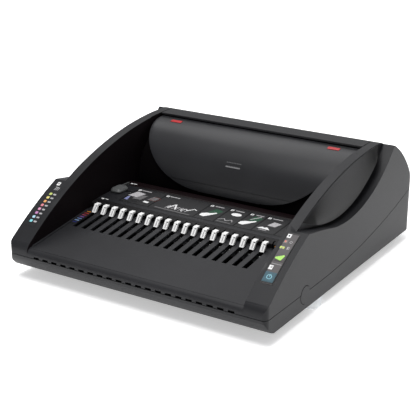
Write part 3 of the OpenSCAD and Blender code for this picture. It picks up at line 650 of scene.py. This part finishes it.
def key_strip():
    """Frame, badges and signs of the key strip on the right rim."""
    def place(u, v, h):
        return rim_place(u, v, 0.0003 + h)

    print_on("panel_border", place, [(INK_BLACK, panel_border())], "base")
    badge_u = 0.1668
    dot = [disc(0, 0, 1.2, 12)]
    corner = [rect(0.3, 0, 2.2, 0.8), rect(1.0, 0.8, 0.8, 2.2)]
    for k, (angle, sign) in enumerate(zip(PANEL_BADGES_A, (dot, corner))):
        v = rim_along(angle)
        print_on("panel_badge_%d" % k, place, [
            (INK_WHITE, [rounded(badge_u, v, 0.0050, 0.0060, 0.0003)]),
            (INK_BLACK, scaled(sign, badge_u, v))], "base")
    divider = rect(PANEL_X, rim_along(PANEL_DIVIDER_A), 0.0125, 0.0005)
    print_on("panel_divider", place, [(INK_LIGHT, [divider])], "base")
    icon_u = 0.1735
    signs = scaled(arc_line(0, 0, 1.5, 0, 330, 0.6, 10), icon_u, rim_along(117.25))
    signs += scaled([rect(0, 0, 1.4, 4.2), rect(1.9, 0, 0.6, 4.2)], icon_u, rim_along(118.3))
    print_on("panel_signs", place, [(INK_LIGHT, signs)], "base")
    frames = [rounded(LAMPS_U, rim_along(a), 0.0058, 0.0052, 0.0008) for a in LAMPS_A]
    print_on("led_frames", place, [(INK_GREY, frames)], "base")


# ---- the drum's skin ----

SKIN_HALF = TRAY_HALF - 0.0015
CORNER_X, CORNER_S, CORNER_R = 0.047, 0.0075, 0.110
CREASE_S = 0.1055
GROOVE_S = 0.0040
LOW = 0.0006


def skin_width(s):
    """Half width of the skin at distance s from the top of the drum."""
    drop = min(max(s - CORNER_S, 0.0), CORNER_R)
    return min(SKIN_HALF, CORNER_X + math.sqrt(CORNER_R ** 2 - drop ** 2))


def skin_depth(s):
    """How far the outer face lies below the drum's radius at distance s."""
    return LOW if s > CREASE_S + 0.0004 or abs(s - GROOVE_S) < 0.0003 else 0.0


def grid_rim(grid):
    """The border of a grid of vertices, in order."""
    right = [row[-1] for row in grid[1:]]
    left = [row[0] for row in grid[-2:0:-1]]
    return grid[0] + right + grid[-1][-2::-1] + left


def drum_skin():
    """The drum's curved skin: round lower corners, a crease near its lip and a groove near its top."""
    first, last = math.radians(-15) * DRUM_R, math.radians(88) * DRUM_R
    top_steps, corner_steps = 10, 56
    rows = {first + (CORNER_S - first) * i / top_steps for i in range(top_steps)}
    rows |= {CORNER_S + CORNER_R * math.sin(math.pi / 2 * i / corner_steps)
             for i in range(corner_steps + 1)}
    rows |= {last, CREASE_S, CREASE_S + 0.0005}
    rows |= {GROOVE_S + k * MM for k in (-0.6, -0.2, 0.2, 0.6)}
    rows = sorted(rows)
    rows = [s for i, s in enumerate(rows) if i == 0 or s - rows[i - 1] > 0.00005]
    columns = 48
    bm = bmesh.new()

    def face_grid(lift_of):
        grid = []
        for s in rows:
            w = skin_width(s)
            grid.append([bm.verts.new(drum_place(w * (2 * i / columns - 1), s, lift_of(s)))
                         for i in range(columns + 1)])
        return grid

    outer = face_grid(lambda s: -skin_depth(s))
    inner = face_grid(lambda s: -SKIN_T)
    for r in range(len(rows) - 1):
        for c in range(columns):
            bm.faces.new((outer[r][c], outer[r][c + 1], outer[r + 1][c + 1], outer[r + 1][c]))
            bm.faces.new((inner[r][c], inner[r + 1][c], inner[r + 1][c + 1], inner[r][c + 1]))
    rim_out, rim_in = grid_rim(outer), grid_rim(inner)
    for i in range(len(rim_out)):
        j = (i + 1) % len(rim_out)
        bm.faces.new((rim_out[i], rim_in[i], rim_in[j], rim_out[j]))
    skin = add_mesh("drum_skin", bm, "handle", [DRUM])
    round_edges(skin, 0.0006, 2)
    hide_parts("handle_skin")


def drum_marks():
    """Red windows near the ends of the drum, and a comb pictogram whose flat teeth sink in midway."""
    def on_window(u, v, h):
        return drum_place(u, v, h + 0.0001)

    window_v = math.radians(10.6) * DRUM_R
    for word, u in (("left", -0.1235), ("right", 0.1235)):
        print_on("drum_window_" + word, on_window, [
            (MARK_DARK, [rounded(u, window_v, 0.0176, 0.0078, 0.0010)]),
            (MARK_RED, [rounded(u + 0.0022, window_v, 0.0110, 0.0056, 0.0008)])],
            "handle")
    comb = [rect(0, 3.2, 22.0, 1.1)] + [rect(2.6 * k, -0.4, 0.9, 6.4) for k in range(-4, 5)]
    emblem = scaled(comb, 0.0, math.radians(54.5) * DRUM_R)
    print_on("drum_emblem", drum_place, [(INK_EMBLEM, emblem)], "handle")


# ---- curved panels in the side recesses ----

INSET_X = HALF_W - 0.0150
INSET_BACK_X = INSET_X - 0.0013
INSET_LEAN = 0.0070


def rim_top(y):
    """Height of the rim at depth y, ahead of its flat end."""
    return RIM_Z + math.sqrt(RIM_R ** 2 - min(y - RIM_Y, 0.0) ** 2)


def side_panels():
    """A panel that leans out from under the rim to a crisp lower edge, on each side."""
    columns, steps = 72, 10
    first, last = -0.0955, 0.1075
    for side, node in ((-1, "left_side_inset"), (1, "right_side_inset")):
        bm = bmesh.new()
        front, back = [], []
        for c in range(columns + 1):
            y = first + (last - first) * (0.5 - 0.5 * math.cos(math.pi * c / columns))
            top = rim_top(y) - 0.0008
            low = min(top - 0.0004, RIDGE_Z - math.sqrt(RIDGE_R ** 2 - (y - RIDGE_Y) ** 2))
            reach = INSET_LEAN * min(1.0, (top - low) / 0.016)
            front.append([])
            back.append([])
            for k in range(steps + 1):
                f = k / steps
                x = INSET_X - 0.0002 + reach * (0.55 * f + 0.45 * math.sin(math.pi / 2 * f))
                z = top + (low - top) * f
                front[-1].append(bm.verts.new((side * x, y, z)))
                back[-1].append(bm.verts.new((side * INSET_BACK_X, y, z)))
        for grid in (front, back):
            for c in range(columns):
                for k in range(steps):
                    bm.faces.new((grid[c][k], grid[c + 1][k], grid[c + 1][k + 1], grid[c][k + 1]))
        for c in range(columns):
            for k in (0, steps):
                bm.faces.new((front[c][k], front[c + 1][k], back[c + 1][k], back[c][k]))
        for c in (0, columns):
            for k in range(steps):
                bm.faces.new((front[c][k], front[c][k + 1], back[c][k + 1], back[c][k]))
        # the panel's material carries painted shade towards its lower edge
        panel = add_mesh(node + "_panel", bm, "base", [SHADED_RECESS])
        round_edges(panel, 0.0005, 2)
        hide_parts(node)


# ---- hooks ----

FACE_RUN, FACE_RISE = 7.5, 10.5  # the slope of a head's front face
STEM_HALF = 0.00312


def add_box(bm, x, y, z):
    """A box between pairs of limits."""
    corners = [bm.verts.new((a, b, c)) for c in z for b in y for a in x]
    for ring in ((0, 2, 3, 1), (4, 5, 7, 6), (0, 1, 5, 4), (2, 6, 7, 3), (0, 4, 6, 2), (1, 3, 7, 5)):
        bm.faces.new([corners[i] for i in ring])


def hook_faces():
    """Black stems under the white heads as painted shade where they go down into the dark slots, and
    the slit and notch in each head's front face as painted shade: grey in the slit, nearly black in
    the notch.
    """
    along = Vector((0, FACE_RUN, FACE_RISE)).normalized()
    out = Vector((0, -along.z, along.y))
    columns = [(i - (RINGS + 1) / 2) * PITCH for i in range(RINGS)]
    bm = bmesh.new()
    # black boxes: painted shade of the slots the stems go down into
    for x in columns:
        add_box(bm, (x - STEM_HALF, x + STEM_HALF), (HOOK_Y - 0.00012, HOOK_Y + 0.0036),
                (HOOK_Z - 0.0050, HOOK_Z + 0.0006))
    add_mesh("hook_stems_shade", bm, "opener", [BLACK])

    def on_face(u, v, h):
        return Vector((u, HOOK_Y, HOOK_Z)) + along * v + out * h

    # painted shade of each head's slit and notch
    slits = [rect(x + 0.0003, 0.0056, 0.0017, 0.0068) for x in columns]
    notches = [rect(x + 0.0012, 0.0104, 0.0026, 0.0013) for x in columns]
    print_on("hook_slit_shades", on_face, [(INK_LIGHT, slits), (INK_DARK, notches)], "opener")


# ---- keys and lamps ----

KEY_LIFT, WINDOW_LIFT, LENS_LIFT = 0.00108, 0.00034, 0.00103  # above the rim


def on_rim(lift):
    """A place function for prints that stand above the rim."""
    return lambda u, v, h: rim_place(u, v, lift + h)


def keys():
    """The green triangle of the punch key and the ring of the power key."""
    triangle = [(-6.2, -1.6), (-5.6, -0.2), (3.4, 4.6), (5.0, 4.4), (5.4, 3.0),
                (3.2, -3.6), (1.9, -4.4), (-4.8, -2.6)]
    shape = scaled([triangle], PANEL_X, rim_along(PUNCH_KEY_A), 0.92)
    print_on("punch_sign", on_rim(KEY_LIFT), [(GREEN_KEY, shape)], "punch_key")
    ring = arc_line(0, 0, 2.9, 118, 422, 0.75, 24) + [rect(0, 2.0, 0.8, 3.4)]
    sign = scaled(ring, PANEL_X, rim_along(POWER_KEY_A), turn=-10)
    print_on("power_sign", on_rim(KEY_LIFT), [(TEAL_RING, sign)], "power_key")


def lamps():
    """The lit faces of the two lamps: a window in the strip and a round lens each."""
    for name, angle, mat, wide in zip(("red", "lime"), LAMPS_A, (LED_RED, LED_LIME), (0.0034, 0.0056)):
        v = rim_along(angle)
        print_on("lamp_window_" + name, on_rim(WINDOW_LIFT),
                 [(mat, [rounded(LAMPS_U, v, wide, 0.0034, 0.0010)])], "base")
        print_on("lamp_lens_" + name, on_rim(LENS_LIFT),
                 [(mat, [disc(LAMPS_U, v, 0.00098, 16)])], "base")


# ---- back ----

def back_details():
    """Air slots printed black as painted shade of their openings, and a blank plate, which lie just
    under the casing's back and so don't show.
    """
    def on_back(u, v, h):
        return Vector((u, HALF_D - 0.0002 + h, v + FOOT_H))

    slots = [rounded(0.030 + 0.0065 * k, 0.0240, 0.0026, 0.0200, 0.0012) for k in range(14)]
    plate = rounded(-0.050, 0.0250, 0.0440, 0.0220, 0.0015)
    # black air slots: painted shade of the openings
    print_on("back_air_slots", on_back, [(INK_BLACK, slots)], "base")
    print_on("back_plate", on_back, [(INK_LIGHT, [plate])], "base")


drum_skin()
drum_marks()
hook_faces()
side_panels()
instruction_strip()
ledge_marks()
tray_scales()
rack_scale()
size_chart()
key_strip()
keys()
lamps()
back_details()


# ---- stage, light and camera ----

def pale_floor():
    """A wide pale disc that glows a little, so that it stays nearly white."""
    bm = bmesh.new()
    bmesh.ops.create_circle(bm, cap_ends=True, segments=96, radius=14.0)
    mesh = bpy.data.meshes.new("floor")
    bm.to_mesh(mesh)
    bm.free()
    floor = bpy.data.objects.new("floor", mesh)
    bpy.context.scene.collection.objects.link(floor)
    mat, tree, shader = new_material("floor_white")
    cloud = noise(tree, 3.0)
    tree.links.new(shades(tree, cloud.outputs["Fac"], (0.93, 0.93, 0.93), (0.95, 0.95, 0.95)),
                   shader.inputs["Base Color"])
    shader.inputs["Roughness"].default_value = 0.9
    shader.inputs["Specular IOR Level"].default_value = 0.0
    shader.inputs["Emission Color"].default_value = (1, 1, 1, 1)
    shader.inputs["Emission Strength"].default_value = 0.44
    floor.data.materials.append(mat)


def surroundings():
    """A soft grey sky that is white overhead."""
    world = bpy.data.worlds.new("studio")
    world.use_nodes = True
    tree = world.node_tree
    coords = tree.nodes.new("ShaderNodeTexCoord")
    split = tree.nodes.new("ShaderNodeSeparateXYZ")
    sky = tree.nodes.new("ShaderNodeValToRGB")
    sky.color_ramp.elements[0].position = 0.50
    sky.color_ramp.elements[1].position = 0.95
    sky.color_ramp.elements.new(0.56).color = (0.34, 0.34, 0.36, 1)
    sky.color_ramp.elements.new(0.74).color = (0.30, 0.30, 0.32, 1)
    for end, level in ((0, 0.48), (-1, 1.0)):
        sky.color_ramp.elements[end].color = (level, level, level, 1)
    tree.links.new(coords.outputs["Generated"], split.inputs["Vector"])
    tree.links.new(split.outputs["Z"], sky.inputs["Fac"])
    tree.links.new(sky.outputs["Color"], tree.nodes["Background"].inputs["Color"])
    tree.nodes["Background"].inputs["Strength"].default_value = 1.0
    bpy.context.scene.world = world


def studio_lights():
    """Soft square lamps that all face the machine."""
    target = Vector((0, 0, 0.07))
    for name, place, size, power in (
        ("key", (-0.58, 0.66, 1.30), 0.9, 4.2),
        ("front", (0.0, -0.6, 2.1), 1.0, 33.0),
        ("fill", (2.0, 1.1, 0.9), 1.0, 0.6),
        ("back", (0.2, 1.8, 1.2), 1.2, 8.0),
    ):
        lamp = bpy.data.lights.new(name, "AREA")
        lamp.shape = "SQUARE"
        lamp.size = size
        lamp.energy = power
        obj = bpy.data.objects.new(name, lamp)
        obj.location = place
        obj.rotation_euler = (target - obj.location).to_track_quat("-Z", "Y").to_euler()
        bpy.context.scene.collection.objects.link(obj)


def camera():
    """The photograph's viewing angle."""
    turn, down = math.radians(32.4), math.radians(20.2)
    data = bpy.data.cameras.new("camera")
    data.sensor_width = 36.0
    data.lens = 92.43
    data.clip_end = 30.0
    obj = bpy.data.objects.new("camera", data)
    obj.location = (0.7088, -1.1437, 0.5607)
    obj.rotation_euler = (math.pi / 2 - down, 0.0, turn)
    bpy.context.scene.collection.objects.link(obj)
    bpy.context.scene.camera = obj


pale_floor()
surroundings()
studio_lights()
camera()
bpy.context.scene.view_settings.view_transform = "Standard"
